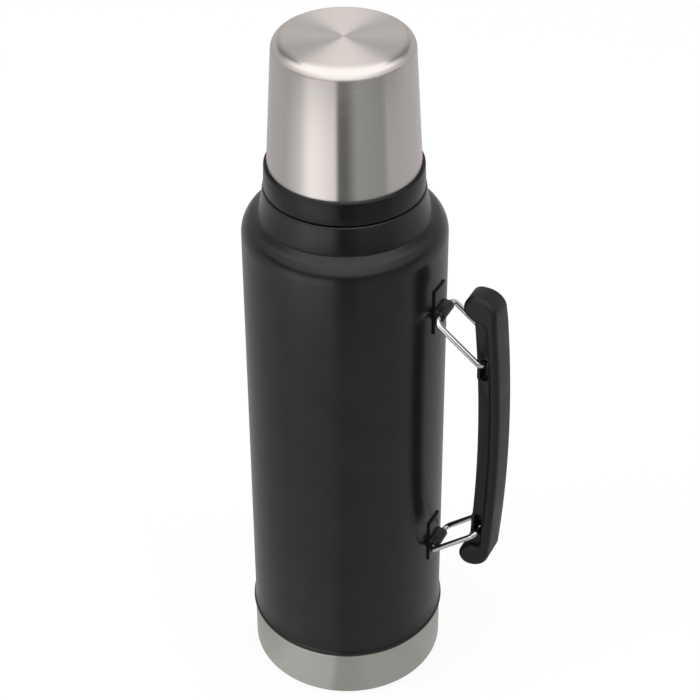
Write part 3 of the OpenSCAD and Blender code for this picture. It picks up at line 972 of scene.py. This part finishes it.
    def build_flask(self) -> None:
        """The steel flask's wall with the mouth's thread."""
        t = self.liner_t
        mouth, soft = self.mouth_r + t, self.slope_round
        wire = Outline(self.liner_r, self.floor_top).line(self.liner_r, self.shoulder_foot, soft)
        wire.line(mouth, self.slope_top, soft).line(mouth, self.rim_z)
        wire.line(self.spigot_r, self.rim_z).line(self.spigot_r, self.rim_z + t)
        wire.line(self.mouth_r, self.rim_z + t, self.mouth_round)
        wire.line(self.mouth_r, self.slope_top, soft)
        wire.line(self.liner_r - t, self.shoulder_foot - t, soft)
        wire.line(self.liner_r - t, self.floor_top)
        bm = wire.close().turn()
        add_ridge(bm, self.mouth_r, self.mouth_crest_r, self.mouth_thread_z, self.mouth_turns)
        finish_piece(bm, "flask_wall", "inner_liner", Body.VESSEL, LinerSteel())

    def build_collar(self) -> None:
        """The moulded collar round the mouth with the cup's thread."""
        bore = self.spigot_r + self.collar_fit
        wire = Outline(bore, self.ledge_z).line(self.collar_root_r, self.ledge_z)
        wire.line(self.collar_root_r, self.collar_top, self.collar_round)
        wire.line(self.lip_in_r, self.collar_top, self.lip_round)
        wire.line(self.lip_in_r, self.lip_foot).line(bore, self.lip_foot)
        bm = wire.close().turn()
        add_ridge(
            bm, self.collar_root_r, self.collar_crest_r, self.collar_thread_z, self.collar_turns)
        finish_piece(bm, "mouth_collar", "neck_collar", Body.VESSEL, Moulding())


@dataclass
class Cup:
    """Steel drinking cup with its moulded ring."""

    cup_r: float = 36.5
    cup_t: float = 0.5
    cup_lean: float = 3.65
    cup_h: float = 64.8
    cup_round: float = 5.6
    ring_top: float = 299.9
    seat: float = 4.6
    ring_foot: float = 288.1
    ring_r: float = 38.4
    ring_lean: float = 0.5
    root_r: float = 35.1
    crest_r: float = 34.1
    groove_r: float = 35.8
    groove_gap: float = 0.2
    seat_gap: float = 0.05
    foot_round: float = 0.6
    top_round: float = 0.3
    groove_round: float = 0.15
    bore_round: float = 0.2
    thread_z: float = 292.6
    turns: float = 1.0

    def build(self) -> None:
        """Make and dress the cup's pieces."""
        self.build_steel()
        self.build_ring()

    def build_steel(self) -> None:
        """The leaning steel wall with its rounded top edge."""
        top = self.ring_top + self.cup_h
        lean = math.atan(self.cup_lean / self.cup_h)
        edge_z = top - self.cup_round
        wall = self.cup_r - self.cup_lean * (edge_z - self.ring_top) / self.cup_h
        edge_x = wall - self.cup_round / math.cos(lean)
        turn = 90.0 - math.degrees(lean)
        wire = Outline(self.cup_r, self.ring_top - self.seat).line(self.cup_r, self.ring_top)
        wire.line(
            edge_x + self.cup_round * math.cos(lean), edge_z + self.cup_round * math.sin(lean))
        wire.arc(edge_x, edge_z, turn, 16)
        wire.line(0.0, top).line(0.0, top - self.cup_t).line(edge_x, top - self.cup_t)
        wire.arc(edge_x, edge_z, -turn, 16).line(self.cup_r - self.cup_t, self.ring_top)
        wire.line(self.cup_r - self.cup_t, self.ring_top - self.seat)
        bm = wire.close().turn(FINE_FACETS)
        finish_piece(bm, "cup_steel", "cup_shell", Body.CUP, BrushedSteel())

    def build_ring(self) -> None:
        """The moulded ring that grips the steel and carries the thread."""
        groove_foot = self.ring_top - self.seat - self.seat_gap
        outside = self.cup_r + self.groove_gap
        wire = Outline(self.root_r, self.ring_foot)
        wire.line(self.ring_r, self.ring_foot, self.foot_round)
        wire.line(self.ring_r - self.ring_lean, self.ring_top, self.top_round)
        wire.line(outside, self.ring_top, self.groove_round)
        wire.line(outside, groove_foot).line(self.groove_r, groove_foot)
        wire.line(self.groove_r, self.ring_top).line(self.root_r, self.ring_top, self.bore_round)
        bm = wire.close().turn(FINE_FACETS)
        add_ridge(bm, self.root_r, self.crest_r, self.thread_z, self.turns)
        finish_piece(bm, "cup_grip_ring", "cup_ring", Body.CUP, Moulding())


@dataclass
class Bracket:
    """Coated plate on the wall with a barrel across it."""

    name: str
    node: str
    pivot_z: float
    pivot_x: float = PIVOT_X
    back_r: float = 49.55
    plate_t: float = 1.0
    width: float = 12.4
    height: float = 25.0
    corner: float = 4.0
    barrel_r: float = 2.68
    barrel_l: float = 12.2
    barrel_up: float = -1.3
    bore_r: float = 1.48
    edge_round: float = 0.35
    corner_zone: float = 0.955
    root_in: float = 0.35
    root_out: float = 0.4
    root_rise: float = 0.5

    def build(self) -> None:
        """Make the bent plate and its barrel as one piece."""
        bm = self.plate()
        barrel = bpy.data.meshes.new("barrel")
        made = self.barrel()
        made.to_mesh(barrel)
        made.free()
        bm.from_mesh(barrel)
        bpy.data.meshes.remove(barrel)
        finish_piece(bm, self.name, self.node, Body.VESSEL, PowderCoat())

    def plate(self) -> Mesh:
        """Bend a plate round the wall.

        Returns:
            The plate's mesh.
        """
        half = math.asin(0.5 * self.width / (self.back_r + self.plate_t))
        foot = self.pivot_z - self.barrel_up - 0.5 * self.height
        bm = bmesh.new()
        corners = ((self.back_r, 0.0), (self.back_r + self.plate_t, 0.0),
                   (self.back_r + self.plate_t, self.height), (self.back_r, self.height))
        face = bm.faces.new([bm.verts.new((r * MM, 0.0, (foot + z) * MM)) for r, z in corners])
        bmesh.ops.rotate(bm, verts=bm.verts, cent=ORIGIN, matrix=Matrix.Rotation(-half, 3, "Z"))
        bmesh.ops.spin(
            bm, geom=[face, *face.edges, *face.verts], cent=ORIGIN, axis=UP, angle=2.0 * half,
            steps=16, use_merge=False, use_duplicate=False)
        bmesh.ops.recalc_face_normals(bm, faces=bm.faces)
        side = 0.5 * self.width * MM * self.corner_zone
        outside = (self.back_r + self.plate_t) * MM

        def at_corner(edge: Edge) -> bool:
            """Test for an edge through the plate at one of its four corners.

            Args:
                edge: Edge of the plate.

            Returns:
                Whether it is such an edge.
            """
            first, second = (v.co for v in edge.verts)
            flat = abs(first.z - second.z) < TOUCH
            through = abs(first.xy.length - second.xy.length) > 0.5 * self.plate_t * MM
            return flat and through and min(abs(first.y), abs(second.y)) > side

        def on_rim(edge: Edge) -> bool:
            """Whether an edge is on the plate's outer outline."""
            far = all(v.co.xy.length > outside - 1e-6 for v in edge.verts)
            return far and edge.calc_face_angle() > HARD

        round_edges(bm, at_corner, self.corner, 8)
        round_edges(bm, on_rim, self.edge_round, 3)
        return bm

    def barrel(self) -> Mesh:
        """Make the half-round barrel with its bore.

        Returns:
            The barrel's mesh.
        """
        inner, outer = self.back_r + self.root_in, self.back_r + self.plate_t + self.root_out
        low, high = self.pivot_z - self.barrel_r, self.pivot_z + self.barrel_r
        wire = Outline(inner, low - self.root_rise).line(outer, low).line(self.pivot_x, low)
        wire.arc(self.pivot_x, self.pivot_z, 180.0, 20).line(outer, high)
        wire.line(inner, high + self.root_rise).close()
        bore = bmesh.ops.create_circle(
            wire.bm, cap_ends=False, radius=self.bore_r * MM, segments=32)
        place = Matrix.Translation((self.pivot_x * MM, 0.0, self.pivot_z * MM))
        place @= Matrix.Rotation(math.pi / 2, 4, "X")
        bmesh.ops.transform(wire.bm, matrix=place, verts=bore["verts"])
        return wire.slab(self.barrel_l, self.edge_round, 4)


@dataclass
class Bail:
    """Link of bent wire between a bracket and the handle."""

    name: str
    node: str
    body: Body
    pivot_z: float
    lean: float
    pivot_x: float = PIVOT_X
    wire_r: float = 1.4
    length: float = 30.75
    width: float = 21.0
    bend: float = 3.0
    hook_in: float = 3.2
    tip_round: float = 0.45

    def build(self) -> None:
        """Sweep the wire along one half of the link and mirror it."""
        side = 0.5 * self.width - self.bend
        bm = bmesh.new()
        bmesh.ops.create_circle(bm, cap_ends=False, radius=self.wire_r * MM, segments=28)
        across = Matrix.Rotation(math.pi / 2, 3, "X")
        bmesh.ops.rotate(bm, verts=bm.verts, cent=ORIGIN, matrix=across)
        ring = self.straight(bm, bm.edges[:], (0.0, side, 0.0))
        ring = self.quarter(bm, ring, (self.bend, side, 0.0))
        ring = self.straight(bm, ring, (self.length - 2.0 * self.bend, 0.0, 0.0))
        ring = self.quarter(bm, ring, (self.length - self.bend, side, 0.0))
        ring = self.straight(bm, ring, (0.0, self.hook_in - side, 0.0))
        cap = bmesh.ops.edgenet_fill(bm, edges=ring)["faces"]
        rim = {e for face in cap for e in face.edges}
        round_edges(bm, rim.__contains__, self.tip_round, 4)
        bmesh.ops.mirror(bm, geom=[*bm.verts, *bm.edges, *bm.faces], axis="Y", merge_dist=TOUCH)
        weld(bm)
        place = Matrix.Translation((self.pivot_x * MM, 0.0, self.pivot_z * MM))
        place @= Matrix.Rotation(math.radians(self.lean), 4, "Y")
        bmesh.ops.transform(bm, matrix=place, verts=bm.verts)
        finish_piece(bm, self.name, self.node, self.body, ChromeWire(), 60.0)

    @staticmethod
    def straight(bm: Mesh, ring: list[Edge], move: Point) -> list[Edge]:
        """Draw the wire straight on.

        Args:
            bm: Mesh of the wire.
            ring: Edges of its open end.
            move: Way that the end goes, in millimetres.

        Returns:
            Edges of the new end.
        """
        grown = bmesh.ops.extrude_edge_only(bm, edges=ring)["geom"]
        verts = [v for v in grown if isinstance(v, bmesh.types.BMVert)]
        bmesh.ops.translate(bm, verts=verts, vec=Vector(move) * MM)
        return [e for e in grown if isinstance(e, Edge)]

    @staticmethod
    def quarter(bm: Mesh, ring: list[Edge], centre: Point) -> list[Edge]:
        """Bend the wire a quarter turn.

        Args:
            bm: Mesh of the wire.
            ring: Edges of its open end.
            centre: Middle of the bend, in millimetres.

        Returns:
            Edges of the new end.
        """
        turned = bmesh.ops.spin(
            bm, geom=ring, cent=Vector(centre) * MM, axis=(0.0, 0.0, -1.0), angle=math.pi / 2,
            steps=10, use_merge=False, use_duplicate=False)["geom_last"]
        return [e for e in turned if isinstance(e, Edge)]


@dataclass
class Handle:
    """Bowed handle: outer half with its bulbs, inner half with its slots."""

    bow: float = 740.0
    bow_x: float = 85.79
    bow_z: float = 158.05
    width: float = 17.5
    grip_t: float = 11.4
    cover_t: float = 5.6
    top: float = 246.2
    foot: float = 82.5
    tip_r: float = 5.8
    corner_r: float = 9.6
    upper_d: float = 17.1
    lower_d: float = 16.0
    recess_top: float = 233.2
    recess_foot: float = 95.5
    recess_round: float = 3.0
    recess_run: float = 8.0
    tip_turn: float = 140.0
    edge: float = 2.4
    inner_round: float = 0.35
    dome_z: float = 227.0
    dome: float = 0.28

    def build(self) -> None:
        """Make and dress the handle's halves."""
        self.build_outer()
        self.build_inner()

    def face_x(self, z: float, depth: float) -> float:
        """Distance of a bowed face from the axis at height z."""
        return self.bow_x - self.bow + math.sqrt((self.bow - depth) ** 2 - (z - self.bow_z) ** 2)

    def face_turn(self, z0: float, z1: float, depth: float) -> float:
        """Angle of a bowed face between two heights.

        Args:
            z0: Height where it starts.
            z1: Height where it ends.
            depth: Depth of the face under the handle's outer one.

        Returns:
            The angle in degrees.
        """
        radius = self.bow - depth
        first, last = (math.asin((z - self.bow_z) / radius) for z in (z0, z1))
        return math.degrees(last - first)

    def build_outer(self) -> None:
        """The outer half, with a bulb turned in at each end and a domed top."""
        middle = self.bow_x - self.bow
        top_x = self.face_x(self.top - self.corner_r, 0.0)
        foot_x = self.face_x(self.foot + self.corner_r, 0.0)
        tip_top, tip_foot = top_x - self.upper_d + self.tip_r, foot_x - self.lower_d + self.tip_r
        back = math.radians(self.tip_turn - 90.0)
        z0, z1 = self.foot + self.corner_r, self.top - self.corner_r
        hollow, roof = self.recess_foot + self.recess_run, self.recess_top - self.recess_run
        wire = Outline(self.face_x(hollow, self.cover_t), hollow)
        wire.line(self.face_x(self.recess_foot, self.cover_t), self.recess_foot, self.recess_round)
        wire.line(self.face_x(self.recess_foot, self.grip_t), self.recess_foot, self.recess_round)
        wire.line(
            tip_foot - self.tip_r * math.cos(back), self.foot + self.tip_r * (1.0 + math.sin(back)))
        wire.arc(tip_foot, self.foot + self.tip_r, self.tip_turn, 18)
        wire.line(foot_x - self.corner_r, self.foot).arc(foot_x - self.corner_r, z0, 90.0, 14)
        wire.arc(middle, self.bow_z, self.face_turn(z0, z1, 0.0), 40)
        wire.arc(top_x - self.corner_r, z1, 90.0, 14).line(tip_top, self.top)
        wire.arc(tip_top, self.top - self.tip_r, self.tip_turn, 18)
        wire.line(self.face_x(self.recess_top, self.grip_t), self.recess_top, self.recess_round)
        wire.line(self.face_x(self.recess_top, self.cover_t), self.recess_top, self.recess_round)
        wire.line(self.face_x(roof, self.cover_t), roof)
        wire.arc(middle, self.bow_z, self.face_turn(roof, hollow, self.cover_t), 32)
        bm = wire.close().slab(self.width, self.edge)
        for vert in bm.verts:
            rise = max(0.0, (vert.co.z / MM - self.dome_z) / (self.top - self.dome_z))
            vert.co.y *= 1.0 - self.dome * rise**2
        finish_piece(bm, "handle_cover", "handle_grip", Body.HANDLE, GripPlastic(), 40.0)

    def build_inner(self) -> None:
        """The inner half: a copy of its solid with every hard edge softened."""
        bm = bmesh.new()
        bm.from_mesh(bpy.data.objects["handle_inner"].data)
        bmesh.ops.remove_doubles(bm, verts=bm.verts, dist=1e-6)
        bmesh.ops.dissolve_limit(
            bm, angle_limit=math.radians(0.2), verts=bm.verts[:], edges=bm.edges[:],
            use_dissolve_boundaries=False)
        round_edges(bm, lambda edge: edge.calc_face_angle() > HARD, self.inner_round, 2)
        finish_piece(bm, "handle_slotted_half", "handle_inner", Body.HANDLE, GripPlastic(), 40.0)


@dataclass
class Stopper:
    """Screw plug under the cup."""

    foot: float = 261.2
    plug_r: float = 24.5
    crest_r: float = 25.7
    wall: float = 2.0
    flange_z: float = 300.2
    flange_top: float = 303.2
    flange_r: float = 29.2
    foot_round: float = 2.0
    root_round: float = 0.6
    flange_under: float = 0.5
    flange_round: float = 0.8
    thread_z: float = 283.5
    turns: float = 1.75

    def build(self) -> None:
        """Make and dress the plug."""
        inner = self.plug_r - self.wall
        wire = Outline(0.0, self.foot).line(self.plug_r, self.foot, self.foot_round)
        wire.line(self.plug_r, self.flange_z, self.root_round)
        wire.line(self.flange_r, self.flange_z, self.flange_under)
        wire.line(self.flange_r, self.flange_top, self.flange_round).line(inner, self.flange_top)
        wire.line(inner, self.foot + self.wall).line(0.0, self.foot + self.wall)
        bm = wire.close().turn()
        add_ridge(bm, self.plug_r, self.crest_r, self.thread_z, self.turns)
        finish_piece(bm, "stopper_plug", "stopper_body", Body.STOPPER, Moulding())


@dataclass(frozen=True)
class CarriedNodes:
    """Solids that are shown as they are, each with its finish."""

    finishes: tuple[tuple[str, Finish], ...] = (
        ("shell_base", LinerSteel()),
        ("liner_base", LinerSteel()),
        ("seal_bead", BEAD),
        ("getter", GETTER),
        ("liner_foil", FOIL),
        ("collar_gasket", SILICONE),
        ("stopper_gasket", SILICONE),
        ("stopper_knob", Moulding()),
        ("stopper_foam", Foam()),
        ("cup_liner", Moulding()),
        ("cup_insulation", Foam()),
        ("handle_screws", SCREW_STEEL),
    )

    def dress(self, nodes: dict[str, bpy.types.Object]) -> None:
        """Give each node its finish.

        Args:
            nodes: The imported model's nodes by name.
        """
        for name, finish in self.finishes:
            slots = nodes[name].material_slots
            if not slots:
                nodes[name].data.materials.append(finish.material())
            for slot in slots:
                slot.material = finish.material()
            LOG.info("%s: carried over, %s", name, finish.slot.value)


@dataclass
class Viewpoint:
    """Camera at the photograph's place."""

    azimuth: float = 25.5
    distance: float = 1.016687
    elevation: float = 36.2146
    target_z: float = 0.190844
    offset: float = 0.0020694
    roll: float = -0.3387
    lens: float = 105.204
    film: float = 36.0
    clip_end: float = 20.0

    def build(self) -> None:
        """Add the camera and make it the scene's own."""
        a, e, roll = (math.radians(v) for v in (self.azimuth, self.elevation, self.roll))
        right = Vector((math.cos(a), math.sin(a), 0.0))
        back = Vector((-math.sin(a), math.cos(a), 0.0))
        up = Vector((0.0, 0.0, 1.0))
        forward = math.cos(e) * back - math.sin(e) * up
        place = self.offset * right - self.distance * math.cos(e) * back
        place += (self.target_z + self.distance * math.sin(e)) * up
        over = right.cross(forward)
        axis_x = math.cos(roll) * right + math.sin(roll) * over
        axis_y = -math.sin(roll) * right + math.cos(roll) * over
        data = bpy.data.cameras.new("viewpoint")
        data.sensor_width = self.film
        data.lens = self.lens
        data.clip_end = self.clip_end
        camera = bpy.data.objects.new("viewpoint", data)
        turn = Matrix((axis_x, axis_y, -forward)).transposed().to_4x4()
        camera.matrix_world = Matrix.Translation(place) @ turn
        bpy.context.scene.collection.objects.link(camera)
        bpy.context.scene.camera = camera


@dataclass(frozen=True)
class Lamp:
    """A large soft lamp that shows in no reflection."""

    name: str
    place: Point
    size: float
    power: float
    target: Point = (0.0, 0.0, 0.18)

    def build(self) -> None:
        """Add the lamp, turned to its target."""
        data = bpy.data.lights.new(self.name, "AREA")
        data.size = self.size
        data.energy = self.power
        lamp = bpy.data.objects.new(self.name, data)
        lamp.location = self.place
        aim = Vector(self.target) - Vector(self.place)
        lamp.rotation_euler = aim.to_track_quat("-Z", "Y").to_euler()
        lamp.visible_glossy = False
        lamp.visible_camera = False
        bpy.context.scene.collection.objects.link(lamp)


@dataclass
class Studio:
    """White floor, soft lamps, sky, and the tent that reflections see; lengths in metres.

    A panel is an angle from the tent's facing, in degrees, and the level of its light. A band is
    the span of heights over which one row of panels gives way to the next.
    """

    floor_size: float = 12.0
    floor_colour: Colour = (0.90, 0.90, 0.90)
    floor_white: float = 0.90
    sky_level: float = 0.63
    tent_r: float = 0.30
    tent_h: float = 1.0
    # The card is painted shade: a grey ring on the floor round the bottle that only reflections
    # see. It stands in for the floor's shade near the bottle.
    card_r: float = 0.046
    card_z: float = 0.0005
    floor_shade_level: float = 0.47
    card_share: float = 0.14
    roof_level: float = 1.7
    facing: float = -64.5
    warm: Colour = (1.0, 0.955, 0.945)
    green: Colour = (1.0, 1.04, 0.98)
    dim: float = 0.5
    skin: float = 0.001
    ends_band: Span = (0.5, 0.6)
    low_band: Span = (0.05, 0.125)
    gap_band: Span = (0.25, 0.275)
    high_band: Span = (0.315, 0.35)
    crown_band: Span = (0.46, 0.52)
    roof_band: Span = (0.74, 0.82)
    low_panels: Panels = (
        (-180.0, 0.60), (-90.0, 0.60), (-66.0, 0.95), (-50.0, 1.62), (-38.0, 1.60), (-13.0, 1.25),
        (-8.0, 0.09), (3.0, 0.10), (18.0, 0.42), (58.0, 0.38), (64.0, 0.62), (180.0, 0.66))
    gap_panels: Panels = (
        (-180.0, 0.60), (-100.0, 0.55), (-75.0, 0.18), (-20.0, 0.16), (0.0, 0.05), (20.0, 0.14),
        (75.0, 0.18), (100.0, 0.55), (180.0, 0.60))
    high_panels: Panels = (
        (-180.0, 0.66), (-110.0, 0.66), (-60.0, 1.15), (-20.0, 1.55), (20.0, 1.55), (60.0, 0.95),
        (110.0, 0.66), (180.0, 0.66))
    crown_panels: Panels = (
        (-180.0, 1.15), (-171.0, 1.00), (-160.0, 0.31), (-120.0, 0.31), (-85.0, 1.60),
        (-70.0, 1.75), (70.0, 1.75), (85.0, 1.60), (120.0, 0.31), (160.0, 0.31), (171.0, 1.00),
        (180.0, 1.15))
    lamps: tuple[Lamp, ...] = (
        Lamp("lamp_left", (-0.9, -1.0, 1.3), 1.2, 14.0),
        Lamp("lamp_right", (1.3, -0.3, 1.1), 1.0, 6.0),
        Lamp("lamp_over", (0.0, 0.3, 1.9), 1.6, 14.0),
    )

    def build(self) -> None:
        """Add the floor, the tent, the lamps and the world."""
        self.build_floor()
        self.build_tent()
        for lamp in self.lamps:
            lamp.build()
        self.build_world()
        bpy.context.scene.view_settings.view_transform = "Standard"

    def build_floor(self) -> None:
        """A white floor that keeps the bottle's shadow."""
        bm = bmesh.new()
        bmesh.ops.create_grid(bm, x_segments=1, y_segments=1, size=0.5 * self.floor_size)
        new_object(bm, "floor", new_material("floor_white", self.paint_floor))

    def paint_floor(self, graph: Graph) -> None:
        """Mostly plain white to the camera, plain diffuse to all other light.

        Args:
            graph: Tree of the floor's material.
        """
        lit = graph.node("ShaderNodeBsdfDiffuse", inputs={"Color": self.floor_colour})
        white = graph.node("ShaderNodeEmission", inputs={"Color": WHITE, "Strength": 1.0})
        share = graph.seen() * self.floor_white
        graph.surface(graph.node("ShaderNodeMixShader", inputs={0: share, 1: lit, 2: white}))

    def build_tent(self) -> None:
        """A round tent that only reflections see: a grey card of painted shade, panel wall, roof.
        """
        bm = bmesh.new()
        corners = (
            (self.card_r, self.card_z), (self.tent_r, self.card_z), (self.tent_r, self.tent_h),
            (0.0, self.tent_h))
        verts = [bm.verts.new((x, 0.0, z)) for x, z in corners]
        edges = [bm.edges.new(pair) for pair in zip(verts, verts[1:])]
        bmesh.ops.spin(
            bm, geom=[*edges, *verts], cent=ORIGIN, axis=UP, angle=math.tau, steps=128,
            use_merge=True, use_duplicate=False)
        bmesh.ops.remove_doubles(bm, verts=bm.verts, dist=1e-6)
        tent = new_object(bm, "tent", new_material("tent_panels", self.paint_tent))
        tent.visible_camera = False
        tent.visible_diffuse = False
        tent.visible_transmission = False
        tent.visible_shadow = False

    def paint_tent(self, graph: Graph) -> None:
        """Rows of panels one over the other, with the card of painted shade below and the roof
        above them.

        Args:
            graph: Tree of the tent's material.
        """
        x, y, z = graph.axes()
        a = math.radians(self.facing)
        ahead = x * math.cos(a) + y * math.sin(a)
        aside = y * math.cos(a) - x * math.sin(a)
        turn = aside.math("ARCTAN2", ahead) * (0.5 / math.pi) + 0.5
        rows = (self.low_panels, self.gap_panels, self.high_panels, self.crown_panels)
        low, gap, high, crown = (
            graph.node("ShaderNodeValToRGB", {"stops": self.stops(row)}, {0: turn}) for row in rows)
        roof = self.tint(self.roof_level)
        # Painted floor shade for reflections: the card's grey, with a little of the low panels.
        card = graph.blend(self.card_share, self.tint(self.floor_shade_level, True), low)
        wall = card
        for band, tone in (
            (self.low_band, low), (self.gap_band, gap), (self.high_band, high),
            (self.crown_band, crown), (self.roof_band, roof),
        ):
            wall = graph.blend(z.within(*band), wall, tone)
        ends = graph.blend(z.within(*self.ends_band), card, roof)
        flat = z.math("LESS_THAN", self.card_z + self.skin)
        flat += z.math("GREATER_THAN", self.tent_h - self.skin)
        glow = graph.blend(flat, wall, ends)
        graph.surface(graph.node("ShaderNodeEmission", inputs={"Color": glow, "Strength": 1.0}))

    def stops(self, row: Panels) -> list[tuple[float, Colour]]:
        """A row of panels as the stops of a ramp once round the tent."""
        low = row is self.low_panels
        return [(angle / 360.0 + 0.5, self.tint(level, low)) for angle, level in row]

    def tint(self, level: float, low: bool = False) -> Colour:
        """A panel's colour: a little warm, or a little green where it is low and dim."""
        return shade(self.green if low and level < self.dim else self.warm, level)

    def build_world(self) -> None:
        """A pale even sky that looks white."""
        world = bpy.data.worlds.new("studio")
        world.use_nodes = True
        bpy.context.scene.world = world
        graph = Graph(world.node_tree, "ShaderNodeOutputWorld")
        sky, white = (
            graph.node("ShaderNodeBackground", inputs={"Color": WHITE, "Strength": level})
            for level in (self.sky_level, 1.0))
        graph.surface(graph.node("ShaderNodeMixShader", inputs={0: graph.seen(), 1: sky, 2: white}))


def main() -> None:
    """Build the bottle's looks piece by piece."""
    logging.basicConfig(level=logging.INFO, format="%(name)s: %(message)s")
    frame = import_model()
    Viewpoint().build()
    Studio().build()
    assemblies = (
        Vessel(),
        Bracket("upper_plate", "upper_bracket", UPPER_PIVOT_Z),
        Bracket("lower_plate", "lower_bracket", LOWER_PIVOT_Z),
        Bail("upper_wire", "upper_bail", Body.UPPER_LINK, UPPER_PIVOT_Z, LINK_LEAN),
        Bail("lower_wire", "lower_bail", Body.LOWER_LINK, LOWER_PIVOT_Z, -LINK_LEAN),
        Handle(),
        Stopper(),
        Cup(),
    )
    for assembly in assemblies:
        assembly.build()
    CarriedNodes().dress(frame["nodes"])


if __name__ == "__main__":
    main()
